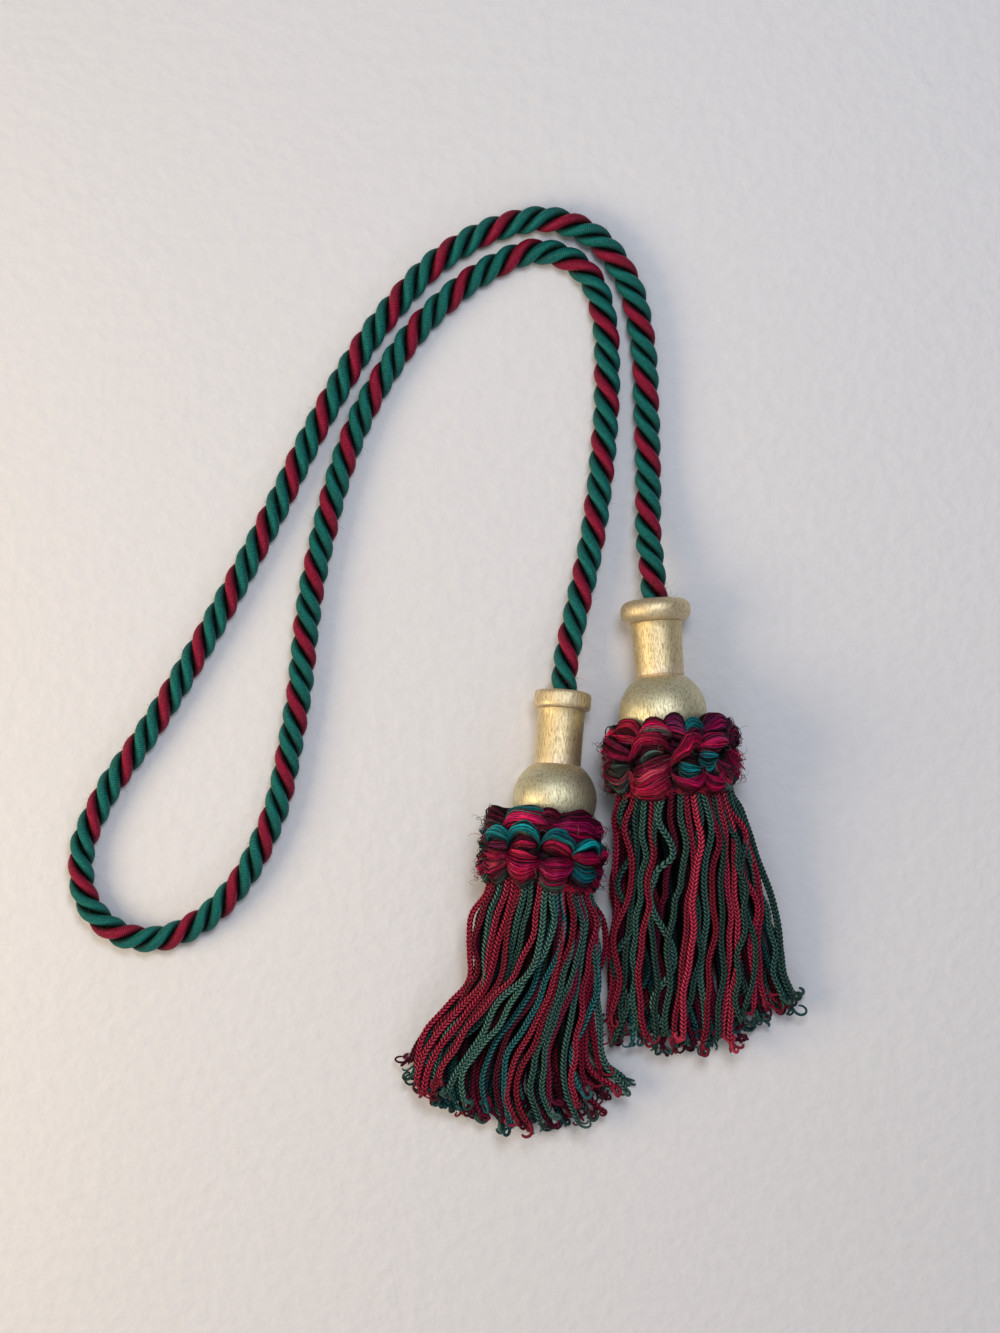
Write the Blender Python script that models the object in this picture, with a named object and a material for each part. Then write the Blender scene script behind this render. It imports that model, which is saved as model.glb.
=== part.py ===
"""A curtain tieback, lying as it is put down on a table: a twisted three-ply cord that ends in two
tassels, each with a turned wooden head, a ruff of looped floss and a skirt of chainette strands.

+Z is up and the table is at z = 0. +Y points from the skirts to the heads. The origin is on the
table, below the middle of the two tassels. Sizes are in metres and angles in degrees."""

import math
import random
from collections import namedtuple

import bmesh
import bpy
import numpy
from mathutils import Matrix, Vector

GAP = 0.0003                # left between pieces that touch

# The cord
CORD_RADIUS = 0.006         # to the outside of a ply
CORD_GROOVE = 0.0034        # from the middle to the bottom of a groove between two plies
CORD_LAY = 0.0297           # length in which a ply goes once round
CORD_PLIES = 3
STEPS_A_TURN = 8
LYING = 0.0061              # height of the cord's middle where it lies on the table
IN_BORE = 0.0115            # length of the cord's end inside a head
OUT_OF_BORE = 0.012         # straight stretch in front of a head

# The cord's middle from the right head's bore to the left head's: x, y, z
ROUTE = [
    (0.0210, 0.146, 0.0110),
    (0.0210, 0.172, 0.0066),
    (0.0203, 0.203, LYING),
    (0.0183, 0.236, LYING),
    (0.0115, 0.263, LYING),
    (-0.0030, 0.282, LYING),
    (-0.0240, 0.290, LYING),
    (-0.0470, 0.286, LYING),
    (-0.0700, 0.274, LYING),
    (-0.0990, 0.244, LYING),
    (-0.1270, 0.199, LYING),
    (-0.1490, 0.155, LYING),
    (-0.2050, 0.058, LYING),
    (-0.2240, 0.030, LYING),
    (-0.2340, 0.004, LYING),
    (-0.2310, -0.018, LYING),
    (-0.2180, -0.031, LYING),
    (-0.2010, -0.034, LYING),
    (-0.1820, -0.027, LYING),
    (-0.1640, -0.010, LYING),
    (-0.1490, 0.018, LYING),
    (-0.1385, 0.062, LYING),
    (-0.1285, 0.134, LYING),
    (-0.1030, 0.211, LYING),
    (-0.0760, 0.248, LYING),
    (-0.0480, 0.269, LYING),
    (-0.0300, 0.2755, LYING),
    (-0.0145, 0.272, LYING),
    (-0.0050, 0.2635, LYING),
    (0.0010, 0.246, LYING),
    (0.0025, 0.220, LYING),
    (0.0000, 0.178, LYING),
    (-0.0050, 0.142, 0.0063),
    (-0.0110, 0.115, 0.0085),
]

# A head is turned round its own axis, and its lengths are taken along that from the rim's face.
HEAD_SIDES = 20
BORE_RADIUS = 0.0064
BORE_DEPTH = 0.012
NECK_END = 0.034
HEAD_LENGTH = 0.066
BULB_RINGS = 7

# What each tassel measures. x and y place the middle of its rim's face, lean turns it on the table,
# and tilt is how far its axis climbs from the rim to the skirt.
Tassel = namedtuple("Tassel", "name x y lean tilt rim rim_length neck_top neck_low bulb bulb_at "
                              "ruff_shift ruff_start ruff_end ruff_half heading seed")
TASSELS = [
    Tassel("right", 0.0235, 0.1183, 3.9, 5.6, 0.0158, 0.010, 0.0114, 0.0108, 0.0196, 0.0510,
           0.0025, 0.0550, 0.0885, 0.0322, 0.0262, 3),
    Tassel("left", -0.0173, 0.0772, -4.8, 8.0, 0.0128, 0.008, 0.0106, 0.0104, 0.0187, 0.0485,
           -0.0035, 0.0525, 0.0915, 0.0300, 0.0240, 8),
]

# The ruff, flattened where it lies. Its puffs stand round it in two rows, half a puff apart.
RUFF_HALF_HEIGHT = 0.0250
RUFF_MIDDLE = 0.0222        # height of its middle
PUFFS = 11                  # in a row
PUFF_STEPS = 6              # faces round the ruff in each puff
PUFF_DEEP = 0.0045          # how far a puff stands out from the band that it is sewn on
PUFF_ROWS = (-0.45, 0.45)   # middles of the rows, in half lengths of the ruff
PUFF_LONG = 0.56            # half length of a puff, in the same
PUFF_WIDE = 0.52            # half width of a puff, in puffs
RUFF_STEPS = (-1.0, -0.8, -0.45, -0.12, 0.12, 0.45, 0.8, 1.0)
BULB_STEPS = 2              # faces down the ruff's inside where it lies on the bulb
BULB_CLEAR = 0.0008         # from the bulb to the ruff round it
HEADING_CLEAR = 0.00045     # from the skirt's heading to the ruff round it

# The skirt's heading is an oval block below the head, and the strands grow out of its lower face.
HEADING_HALF_HEIGHT = 0.0180
HEADING_END = 0.084         # from the rim's face
HEADING_SIDES = 28
ROOTED = 0.003              # length of a strand's root inside the heading
STRAND_WIDTH = 0.0035
ROOT_WIDTH = 0.0029         # of a strand where it leaves the heading
STRAND_HEIGHT = 0.0020

# Layers of strands from the table up. height is the layer's place in the heading, from -1 to 1;
# spread is how much of the skirt's width it fills at the ends, and sweep how far its middle
# strands swing aside on the way there, in half widths of the skirt.
Layer = namedtuple("Layer", "height strands spread right_sweep left_sweep")
LAYERS = [
    Layer(-0.85, 7, 0.93, 0.10, 0.12),
    Layer(-0.51, 11, 1.00, 0.00, 0.06),
    Layer(-0.17, 12, 1.00, 0.04, 0.00),
    Layer(0.17, 12, 0.97, 0.04, -0.08),
    Layer(0.51, 11, 0.93, 0.08, -0.16),
    Layer(0.85, 7, 0.80, 0.00, -0.36),
]

# Stations down each skirt: its two edges, how far its middle hangs past them, and the heights of
# its lowest and highest strands.
Station = namedtuple("Station", "left_x left_y right_x right_y drop low high")
SKIRTS = {
    "right": [
        Station(0.0050, 0.0200, 0.0595, 0.0250, 0.000, 0.0030, 0.0380),
        Station(0.0062, 0.0060, 0.0640, 0.0150, 0.002, 0.0008, 0.0345),
        Station(0.0060, -0.0120, 0.0680, -0.0020, 0.004, 0.0000, 0.0295),
        Station(0.0050, -0.0300, 0.0735, -0.0187, 0.006, 0.0000, 0.0250),
        Station(0.0040, -0.0480, 0.0800, -0.0335, 0.008, 0.0000, 0.0215),
        Station(0.0030, -0.0637, 0.0835, -0.0480, 0.009, 0.0000, 0.0185),
        Station(0.0040, -0.0780, 0.0890, -0.0610, 0.010, 0.0000, 0.0160),
    ],
    "left": [
        Station(-0.0570, -0.0215, -0.0020, -0.0220, 0.000, 0.0030, 0.0380),
        Station(-0.0585, -0.0335, -0.0015, -0.0335, 0.002, 0.0008, 0.0345),
        Station(-0.0570, -0.0505, -0.0030, -0.0505, 0.004, 0.0000, 0.0295),
        Station(-0.0645, -0.0625, -0.0050, -0.0640, 0.008, 0.0000, 0.0250),
        Station(-0.0770, -0.0740, -0.0045, -0.0760, 0.013, 0.0000, 0.0215),
        Station(-0.0850, -0.0840, 0.0010, -0.0880, 0.018, 0.0000, 0.0185),
        Station(-0.0890, -0.0910, 0.0140, -0.0990, 0.022, 0.0000, 0.0160),
    ],
}
UNEVEN_END = 0.3            # part of a strand's last stretch by which its end may vary

# Colour, roughness and metallic value
GREEN_CORD = ((0.010, 0.130, 0.105), 0.55, 0.0)
GILT_WOOD = ((0.560, 0.440, 0.230), 0.38, 0.6)
RED_FLOSS = ((0.260, 0.015, 0.050), 0.35, 0.0)
DARK_STRANDS = ((0.060, 0.070, 0.055), 0.60, 0.0)


def clear_scene():
    for thing in list(bpy.data.objects):
        bpy.data.objects.remove(thing)


def surface(rings):
    """A closed mesh through rings of as many points each, with both ends filled."""
    mesh = bmesh.new()
    rows = [[mesh.verts.new(point) for point in ring] for ring in rings]
    add_tube(mesh, rows)
    return mesh


def add_tube(mesh, rows):
    """Faces between rows of points, and one over each end."""
    count = len(rows[0])
    for row, after in zip(rows, rows[1:]):
        for i in range(count):
            j = (i + 1) % count
            mesh.faces.new((row[i], row[j], after[j], after[i]))
    mesh.faces.new(tuple(reversed(rows[0])))
    mesh.faces.new(tuple(rows[-1]))


def add_object(name, mesh, frame=None, finish=None):
    """An object from a bmesh, placed by a frame, with a material of its own."""
    bmesh.ops.recalc_face_normals(mesh, faces=mesh.faces)
    data = bpy.data.meshes.new(name)
    mesh.to_mesh(data)
    mesh.free()
    thing = bpy.data.objects.new(name, data)
    bpy.context.scene.collection.objects.link(thing)
    if frame is not None:
        thing.location = frame.to_translation()
        thing.rotation_euler = frame.to_euler()
    if finish is not None:
        data.materials.append(material(name, *finish))
    return thing


def material(name, colour, roughness, metallic):
    made = bpy.data.materials.new(name)
    made.use_nodes = True
    shader = made.node_tree.nodes["Principled BSDF"]
    shader.inputs["Base Color"].default_value = (*colour, 1.0)
    shader.inputs["Roughness"].default_value = roughness
    shader.inputs["Metallic"].default_value = metallic
    return made


def smooth(thing, sharp_angle=40.0):
    thing.data.shade_smooth()
    thing.data.set_sharp_from_angle(angle=math.radians(sharp_angle))


def join(thing, other):
    """Joins another object to this one with a modifier. The other itself is hidden."""
    other.hide_render = True
    other.display_type = "WIRE"
    change = thing.modifiers.new(other.name, "BOOLEAN")
    change.operation = "UNION"
    change.solver = "EXACT"
    change.use_self = True
    change.object = other


def oval(half_width, half_height, sides, x=0.0, y=0.0, z=0.0):
    """Points round an ellipse, the first of them at its lowest place."""
    points = []
    for i in range(sides):
        turn = 2 * math.pi * i / sides - math.pi / 2
        points.append(Vector((x + half_width * math.cos(turn), y + half_height * math.sin(turn), z)))
    return points


# Heads

def head_profile(tassel):
    """The head's outline as (radius, length along the axis), from the bore's end to the foot."""
    rim, ring = tassel.rim, tassel.rim_length
    points = [
        (BORE_RADIUS, BORE_DEPTH),
        (BORE_RADIUS, 0.0010),
        (BORE_RADIUS + 0.0008, 0.0),
        (rim - 0.0022, 0.0),
        (rim - 0.0006, 0.16 * ring),
        (rim, 0.40 * ring),
        (rim - 0.0004, 0.75 * ring),
        (rim - 0.0018, ring),
        (tassel.neck_top + 0.0008, ring + 0.0010),
        (tassel.neck_top, ring + 0.0040),
        ((tassel.neck_top + tassel.neck_low) / 2, (ring + NECK_END) / 2),
        (tassel.neck_low, NECK_END - 0.0010),
    ]
    start = math.asin((tassel.neck_low + 0.0014) / tassel.bulb)
    end = math.acos((tassel.bulb_at - HEAD_LENGTH) / tassel.bulb)
    for i in range(BULB_RINGS + 1):
        turn = start + (end - start) * i / BULB_RINGS
        radius = tassel.bulb * math.sin(turn)
        points.append((radius, tassel.bulb_at - tassel.bulb * math.cos(turn)))
    return points


def rim_height(tassel):
    """Height of the middle of the rim's face when the head's lowest point is on the table."""
    tilt = math.radians(tassel.tilt)
    return max(r * math.cos(tilt) - s * math.sin(tilt) for r, s in head_profile(tassel))


def head_frame(tassel):
    """Local Z runs from the rim's face along the head's axis, local X to the side."""
    lean, tilt = math.radians(tassel.lean), math.radians(tassel.tilt)
    side = Vector((math.cos(lean), math.sin(lean), 0.0))
    axis = Vector((math.sin(lean) * math.cos(tilt), -math.cos(lean) * math.cos(tilt), math.sin(tilt)))
    up = axis.cross(side)
    frame = Matrix((side, up, axis)).transposed().to_4x4()
    frame.translation = (tassel.x, tassel.y, rim_height(tassel))
    return frame


def build_head(tassel):
    rings = [oval(r, r, HEAD_SIDES, z=s) for r, s in head_profile(tassel)]
    head = add_object("head_" + tassel.name, surface(rings), head_frame(tassel), GILT_WOOD)
    smooth(head)


# Cord

def bore_points(tassel):
    """Where the cord ends in a head, where it crosses the rim's face and where it is free to turn."""
    frame = head_frame(tassel)
    return [frame @ Vector((0.0, 0.0, s)) for s in (IN_BORE, 0.0, -OUT_OF_BORE)]


def cord_curve(points, step):
    """Points a step apart on a smooth curve through the route's points."""
    points = numpy.array([tuple(p) for p in points])
    spans = numpy.linalg.norm(numpy.diff(points, axis=0), axis=1)
    slopes = numpy.diff(points, axis=0) / spans[:, None]
    before, after = spans[:-1, None], spans[1:, None]
    inner = (slopes[:-1] * after + slopes[1:] * before) / (before + after)
    tangents = numpy.vstack([slopes[:1], inner, slopes[-1:]])
    fine = []
    for i, span in enumerate(spans):
        for t in numpy.linspace(0.0, 1.0, 40, endpoint=False):
            fine.append((2 * t**3 - 3 * t**2 + 1) * points[i] + (3 * t**2 - 2 * t**3) * points[i + 1]
                        + span * ((t**3 - 2 * t**2 + t) * tangents[i] + (t**3 - t**2) * tangents[i + 1]))
    fine = numpy.array(fine + [points[-1]])
    run = numpy.concatenate([[0.0], numpy.cumsum(numpy.linalg.norm(numpy.diff(fine, axis=0), axis=1))])
    stops = numpy.linspace(0.0, run[-1], round(run[-1] / step) + 1)
    return [Vector([numpy.interp(s, run, fine[:, k]) for k in range(3)]) for s in stops]


def build_cord():
    """A lobe for each ply, carried along the route and turned left-handed as it goes."""
    right, left = TASSELS
    route = bore_points(right) + [Vector(p) for p in ROUTE] + bore_points(left)[::-1]
    middle = cord_curve(route, CORD_LAY / STEPS_A_TURN)
    rings = []
    for i, point in enumerate(middle):
        along = (middle[min(i + 1, len(middle) - 1)] - middle[max(i - 1, 0)]).normalized()
        up = (Vector((0.0, 0.0, 1.0)) - along * along.z).normalized()
        side = along.cross(up)
        ring = []
        for k in range(2 * CORD_PLIES):
            turn = math.pi * k / CORD_PLIES - 2 * math.pi * i / STEPS_A_TURN
            radius = CORD_GROOVE if k % 2 else CORD_RADIUS
            ring.append(point + radius * (up * math.cos(turn) + side * math.sin(turn)))
        rings.append(ring)
    add_object("cord", surface(rings), finish=GREEN_CORD)


# Ruffs

def level(tassel, s):
    """Local Y in the head's frame of the ruff's and the heading's middle. It is on the axis along
    the head, and past that it keeps to one height above the table."""
    tilt = math.radians(tassel.tilt)
    above = RUFF_MIDDLE - rim_height(tassel) - s * math.sin(tilt)
    return above / math.cos(tilt) if s > HEAD_LENGTH else 0.0


def puff_rise(turn, along, swells):
    """How far the puffs stand out from the band. turn is counted in puffs."""
    rise = 0.0
    for row, middle in enumerate(PUFF_ROWS):
        place = turn - row / 2
        puff = round(place)
        inside = 1.0 - ((place - puff) / PUFF_WIDE) ** 2 - ((along - middle) / PUFF_LONG) ** 2
        rise = max(rise, PUFF_DEEP * swells[row][puff % PUFFS] * math.sqrt(max(0.0, inside)))
    return rise


def ruff_section(tassel, turn, swells):
    """A closed section through the ruff's wall: down the puffs, and back up the hollow inside."""
    angle = 2 * math.pi * turn / PUFFS - math.pi / 2
    middle = (tassel.ruff_start + tassel.ruff_end) / 2
    half = (tassel.ruff_end - tassel.ruff_start) / 2
    points = []
    for along in RUFF_STEPS:
        s = middle + along * half
        inward = PUFF_DEEP - puff_rise(turn, along, swells)
        points.append((tassel.ruff_shift + (tassel.ruff_half - inward) * math.cos(angle),
                       level(tassel, s) + (RUFF_HALF_HEIGHT - inward) * math.sin(angle), s))
    wide, high = tassel.heading + HEADING_CLEAR, HEADING_HALF_HEIGHT + HEADING_CLEAR
    for s in (tassel.ruff_end, HEAD_LENGTH - GAP):
        points.append((tassel.ruff_shift + wide * math.cos(angle),
                       level(tassel, max(s, HEAD_LENGTH + GAP)) + high * math.sin(angle), s))
    radius = tassel.bulb + BULB_CLEAR
    foot, top = (math.acos((tassel.bulb_at - s) / radius)
                 for s in (HEAD_LENGTH - 2 * GAP, tassel.ruff_start))
    for i in range(BULB_STEPS + 1):
        polar = foot + (top - foot) * i / BULB_STEPS
        points.append((radius * math.sin(polar) * math.cos(angle),
                       radius * math.sin(polar) * math.sin(angle),
                       tassel.bulb_at - radius * math.cos(polar)))
    return points


def build_ruff(tassel):
    """The sections joined into a ring. What would be below the table is pressed flat on it."""
    frame = head_frame(tassel)
    place = frame @ Vector((tassel.ruff_shift, 0.0, (tassel.ruff_start + tassel.ruff_end) / 2))
    place.z = 0.0
    chance = random.Random(tassel.seed)
    swells = [[chance.uniform(0.82, 1.0) for _ in range(PUFFS)] for _ in PUFF_ROWS]
    mesh = bmesh.new()
    rows = []
    for i in range(PUFFS * PUFF_STEPS):
        row = []
        for point in ruff_section(tassel, i / PUFF_STEPS, swells):
            point = frame @ Vector(point) - place
            point.z = max(0.0, point.z)
            row.append(mesh.verts.new(point))
        rows.append(row)
    for row, after in zip(rows, rows[1:] + rows[:1]):
        for i in range(len(row)):
            mesh.faces.new((row[i - 1], row[i], after[i], after[i - 1]))
    ruff = add_object("ruff_" + tassel.name, mesh, Matrix.Translation(place), RED_FLOSS)
    smooth(ruff)


# Skirts

def strand_path(tassel, layer, place, end):
    """A strand's points from its root to its end. place is where it is in its layer, -1 to 1, and
    end is the part of its last stretch that it has over."""
    stations = SKIRTS[tassel.name]
    sweep = layer.right_sweep if tassel.name == "right" else layer.left_sweep
    root_spread = math.sqrt(1.0 - layer.height**2)
    frame = head_frame(tassel)
    inset = 1.0 - 0.5 * STRAND_WIDTH / tassel.heading
    across = tassel.ruff_shift + inset * tassel.heading * root_spread * place
    upward = (HEADING_HALF_HEIGHT - STRAND_HEIGHT) * layer.height
    points = [frame @ Vector((across, level(tassel, s) + upward, s))
              for s in (HEADING_END - ROOTED, tassel.ruff_end)]
    order = LAYERS.index(layer) / (len(LAYERS) - 1)
    for i, station in enumerate(stations):
        down = (i + 1) / len(stations)
        spread = root_spread + (layer.spread - root_spread) * min(1.0, 1.5 * down)
        aside = spread * place
        aside += sweep * down * (1.0 - aside**2)
        left = Vector((station.left_x, station.left_y, 0.0))
        right = Vector((station.right_x, station.right_y, 0.0))
        point = left.lerp(right, (aside + 1.0) / 2)
        point.y -= station.drop * (1.0 - aside**2)
        point.z = station.low + order * (station.high - station.low - STRAND_HEIGHT)
        points.append(point)
    points[-1] = points[-2].lerp(points[-1], 1.0 + end)
    return points


def add_strand(mesh, points):
    """A strand of three sides, flat below."""
    rows = []
    for i, point in enumerate(points):
        along = (points[min(i + 1, len(points) - 1)] - points[max(i - 1, 0)]).normalized()
        side = along.cross(Vector((0.0, 0.0, 1.0))).normalized()
        up = side.cross(along)
        half = (ROOT_WIDTH if i < 2 else STRAND_WIDTH) / 2
        corners = (point - side * half, point + side * half, point + up * STRAND_HEIGHT)
        rows.append([mesh.verts.new(corner) for corner in corners])
    add_tube(mesh, rows)


def build_skirt(tassel):
    name = "skirt_" + tassel.name
    rings = [oval(tassel.heading, HEADING_HALF_HEIGHT, HEADING_SIDES, x=tassel.ruff_shift,
                  y=level(tassel, s), z=s) for s in (HEAD_LENGTH + GAP, HEADING_END)]
    skirt = add_object(name, surface(rings), head_frame(tassel), DARK_STRANDS)
    chance = random.Random(tassel.seed + 1)
    strands = bmesh.new()
    for layer in LAYERS:
        for i in range(layer.strands):
            place = (2 * i + 1) / layer.strands - 1.0
            end = UNEVEN_END * chance.uniform(-1.0, 1.0)
            add_strand(strands, strand_path(tassel, layer, place, end))
    join(skirt, add_object(name + "_strands", strands))


def main():
    clear_scene()
    build_cord()
    for tassel in TASSELS:
        build_head(tassel)
        build_ruff(tassel)
        build_skirt(tassel)


main()
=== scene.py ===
"""How the curtain tieback looks, built round its solids: the cord's three wound plies, the gilded
heads, the ruffs of looped floss and the skirts of chainette strands.

Sizes are in metres and angles in degrees unless a comment says otherwise. +Z is up, the table is at
z = 0, and +Y points from the skirts to the heads."""

import math
from collections import namedtuple

import bpy
import numpy as np
from mathutils import Matrix, Vector


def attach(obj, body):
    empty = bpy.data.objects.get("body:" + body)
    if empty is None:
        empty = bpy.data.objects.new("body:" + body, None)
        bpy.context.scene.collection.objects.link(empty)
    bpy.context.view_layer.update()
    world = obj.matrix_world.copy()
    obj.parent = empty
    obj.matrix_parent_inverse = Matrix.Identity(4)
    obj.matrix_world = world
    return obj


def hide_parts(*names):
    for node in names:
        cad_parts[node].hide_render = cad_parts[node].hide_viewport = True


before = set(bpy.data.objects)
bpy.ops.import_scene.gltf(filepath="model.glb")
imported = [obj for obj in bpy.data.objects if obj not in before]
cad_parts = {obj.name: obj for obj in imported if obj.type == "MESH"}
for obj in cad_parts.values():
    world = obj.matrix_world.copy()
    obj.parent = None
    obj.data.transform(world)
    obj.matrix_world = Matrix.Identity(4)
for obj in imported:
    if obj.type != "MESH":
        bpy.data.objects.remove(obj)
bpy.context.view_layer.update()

Z = np.array([0.0, 0.0, 1.0])
MM = 0.001  # metres in a millimetre, for the tables that are in millimetres
ON_TABLE = 0.0002  # lowest height of any point

# The camera looks straight down. It shows this much of the table from top to bottom.
VIEW_MIDDLE = (-0.0457, 0.0887)
VIEW_HEIGHT = 0.6
CAMERA_HEIGHT = 1.5
SENSOR = 24.0  # millimetres

# The cord, as in its solid
CORD_DIAMETER = 0.012
CORD_LAY = 0.0297  # length in which a ply goes once round
CORD_STEPS = 26  # points in that length
PLY_MIDDLE = 0.00345  # from the cord's middle to a ply's
PLY_RADIUS = 0.00255
PLY_SIDES = 14
SHADE_CORE_RADIUS = 0.0016  # of a near-black tube between the plies, painted shade deep in the grooves
AT_RIM = 12  # point of the cord's middle that is just outside a rim
FRAYED = 90  # loose fibres there
FRAYED_COLOURS = ("red_ply", "green_ply", "soot")
PLIES = ("green_ply", "green_ply", "red_ply")
PLY_UNEVEN = 0.03  # how much a ply's width changes, in parts of it
UNEVEN_STEPS = 9  # steps from one change to the next
PLY_PAINTED_SHADE = 0.015  # painted shade: how dark a ply is where it faces the others, in the grooves
PLY_PAINTED_HIGHLIGHT = 2.1  # where a painted highlight along each ply is brightest, in radians round it
PLY_PAINTED_HIGHLIGHT_WIDTH = 0.35
LYING = 0.0061  # height of the cord's middle where it lies on the table
IN_BORE = 0.0115  # length of the cord's end inside a head
OUT_OF_BORE = 0.012  # straight stretch in front of a head

# The fibres that stand off each ply: a short fuzz and a few long ones
Fuzz = namedtuple("Fuzz", "count shortest longest steps")
PLY_FUZZ = [Fuzz(1100, 0.0006, 0.0016, 3), Fuzz(120, 0.002, 0.005, 7)]
FUZZ_RADIUS = 0.00005
FRAYED_RADIUS = 0.00006

# The cord's middle from the right head's bore to the left head's, in millimetres: x, y, and the
# height where it isn't LYING
ROUTE = [
    (21, 146, 11), (21, 172, 6.6), (20.3, 203), (18.3, 236), (11.5, 263), (-3, 282), (-24, 290),
    (-47, 286), (-70, 274), (-99, 244), (-127, 199), (-149, 155), (-205, 58), (-224, 30), (-234, 4),
    (-231, -18), (-218, -31), (-201, -34), (-182, -27), (-164, -10), (-149, 18), (-138.5, 62),
    (-128.5, 134), (-103, 211), (-76, 248), (-48, 269), (-30, 275.5), (-14.5, 272), (-5, 263.5),
    (1, 246), (2.5, 220), (0, 178), (-5, 142, 6.3), (-11, 115, 8.5),
]

# The heads, as in their solids. Lengths along a head are taken from its rim's face.
BORE_RADIUS = 0.0064
BORE_DEPTH = 0.012
NECK_END = 0.034
HEAD_LENGTH = 0.066
HEAD_SIDES = 112
BULB_PAINTED_REFLECTION = 0.75  # how far the bulbs' gilt is paled, a painted reflection of the cool surroundings
PALING = 0.004  # length in which it turns pale

# How untidy a tassel is: how far its puffs are pushed about, how far the threads of a sheaf wander,
# the share of them that stand off it, how far a puff's ends move for a slant of 1, the loose hairs
# that stand off the ruff, and how wavy the strands are
Untidy = namedtuple("Untidy", "tumble wander loose slant wisps sway")

# What each tassel measures. x and y place the middle of its rim's face, lean turns it on the table,
# and tilt is how far its axis climbs from the rim to the skirt. bead is how round the rim is: 2 is
# a round bead, and more is a flatter wall.
Tassel = namedtuple("Tassel", "name x y lean tilt rim rim_length bead bead_depth neck_top neck_low "
                              "bulb bulb_at ruff_shift ruff_start ruff_end ruff_half heading seed "
                              "untidy")
TASSELS = [
    Tassel("right", 0.0235, 0.1183, 3.9, 5.6, 0.0158, 0.01, 2.2, 0.0046, 0.0114, 0.0108, 0.0196,
           0.051, 0.0025, 0.055, 0.0885, 0.0322, 0.0262, 3,
           Untidy(0.0009, 0.032, 0.20, 0.0018, 250, 0.0015)),
    Tassel("left", -0.0173, 0.0772, -4.8, 8.0, 0.0128, 0.008, 4.0, 0.0024, 0.0106, 0.0104, 0.0187,
           0.0485, -0.0035, 0.0525, 0.0915, 0.03, 0.024, 8,
           Untidy(0.00055, 0.018, 0.10, 0.0008, 120, 0.001)),
]

# The ruffs, flattened where they lie
RUFF_HALF_HEIGHT = 0.025
RUFF_MIDDLE = 0.0222  # height of its middle
BAND_INSIDE = 0.0085  # from the outside of the puffs down to the band that they are sewn on
HEADING_HALF_HEIGHT = 0.018
HEADING_END = 0.084

# Linear colours
COLOURS = {
    "green_ply": (0.006, 0.125, 0.112),
    "red_ply": (0.225, 0.007, 0.032),
    "green": (0.05, 0.138, 0.116),
    "teal": (0.018, 0.128, 0.142),
    "red": (0.42, 0.013, 0.053),
    "wine": (0.138, 0.004, 0.03),
    "crimson": (0.36, 0.004, 0.052),
    "magenta": (0.275, 0.007, 0.07),
    "faded": (0.3, 0.03, 0.062),
    "purple": (0.085, 0.008, 0.045),
    "dark": (0.045, 0.003, 0.016),
    "sea": (0.004, 0.19, 0.215),
    "deep_sea": (0.003, 0.06, 0.085),
    "grey": (0.08, 0.15, 0.13),
    "soot": (0.022, 0.026, 0.024),
}
GILT = {
    "warm": (0.76, 0.59, 0.29),
    "cool": (0.74, 0.66, 0.42),
    # The bulbs' paler gilt: a painted reflection of the cool surroundings
    "pale": (0.72, 0.71, 0.52),
    "streak": (0.33, 0.235, 0.115),
    "speck": (0.11, 0.07, 0.035),
    "wood": (0.90, 0.74, 0.62),
}
FLOOR = ((0.7, 0.692, 0.735), (0.75, 0.745, 0.785))

# Painted shade and highlight on yarn, as (position, shade): across the thread wound round a ply,
# along a stitch, and from the middle of a strand's face outwards. Grooves, gaps between stitches
# and the face's middle get painted shade; crests and stitch tops get a painted highlight.
WINDING_SHADES = ((0.05, 0.58), (0.45, 1.11))
STITCH_SHADES = ((0.10, 0.04), (0.50, 1.37))
FACE_SHADES = ((0.0, 0.35), (0.13, 1.0))
WINDING_WAVER = 7.0  # radians by which the winding is out of true
MATT = 0.95  # roughness of the darkest yarn


# Curves and tubes

def unit(vectors):
    return vectors / np.linalg.norm(vectors, axis=-1, keepdims=True)


def smooth_curve(points, count=None, step=None):
    """Evenly spaced points on a smooth curve through some points."""
    points = np.array(points, float)
    spans = np.linalg.norm(np.diff(points, axis=0), axis=1)[:, None]
    slopes = np.diff(points, axis=0) / spans
    inner = (slopes[:-1] * spans[1:] + slopes[1:] * spans[:-1]) / (spans[:-1] + spans[1:])
    tangents = np.vstack([slopes[:1], inner, slopes[-1:]])
    t = np.linspace(0.0, 1.0, 40, endpoint=False)[None, :, None]
    before, after, span = points[:-1, None], points[1:, None], spans[:, :, None]
    fine = ((2 * t**3 - 3 * t**2 + 1) * before + (3 * t**2 - 2 * t**3) * after
            + span * ((t**3 - 2 * t**2 + t) * tangents[:-1, None] + (t**3 - t**2) * tangents[1:, None]))
    fine = np.vstack([fine.reshape(-1, 3), points[-1:]])
    run = np.concatenate([[0.0], np.cumsum(np.linalg.norm(np.diff(fine, axis=0), axis=1))])
    stops = np.linspace(0.0, run[-1], count or round(run[-1] / step) + 1)
    return np.stack([np.interp(stops, run, fine[:, k]) for k in range(3)], axis=1)


def directions(path, up):
    """Unit vectors to the side, up and along at each point of a path."""
    along = unit(np.gradient(path, axis=0))
    up = np.broadcast_to(up, path.shape)
    up = unit(up - along * np.sum(up * along, axis=1, keepdims=True))
    return np.cross(up, along), up, along


def tube(path, up, across, above, ahead=0.0):
    """Rings of points round a path. across, above and ahead give each ring's section."""
    side, up, along = directions(path, up)
    shape = np.broadcast_shapes(np.shape(across), np.shape(above), (len(path), 1))
    across, above, ahead = (np.broadcast_to(a, shape)[..., None] for a in (across, above, ahead))
    return path[:, None] + side[:, None] * across + up[:, None] * above + along[:, None] * ahead


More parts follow.
